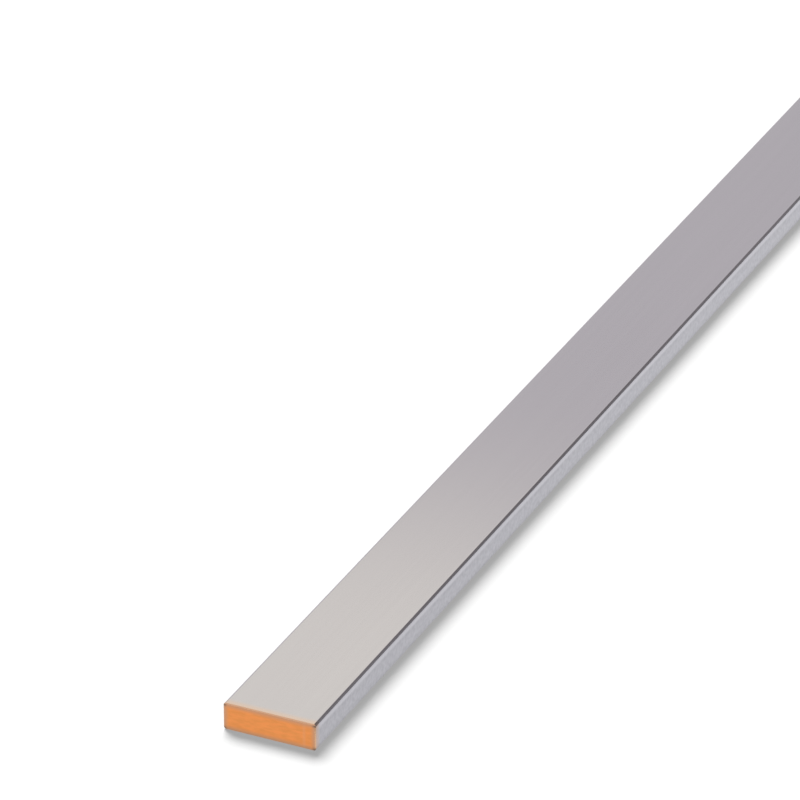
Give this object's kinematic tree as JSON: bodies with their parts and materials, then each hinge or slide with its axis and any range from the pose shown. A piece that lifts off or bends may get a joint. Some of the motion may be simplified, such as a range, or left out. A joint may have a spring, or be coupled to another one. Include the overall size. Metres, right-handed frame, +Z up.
{
  "type": "copper busbar",
  "caption": "Flat tin-plated copper busbar with slightly round long edges and sawn bare-copper ends, stock for clamped or bolted electrical connections.",
  "frame": {"origin": "centre of the underside: mid-length, mid-width, on the wide face that the bar lies on", "axes": "+X along the bar's length, +Y across its 10 mm width, +Z up through its 3 mm thickness"},
  "size_m": [1, 0.01, 0.003],
  "materials": {
    "tinned_copper": "satin"
  },
  "bodies": {
    "root": {"busbar": "tinned_copper"}
  },
  "joints": []
}
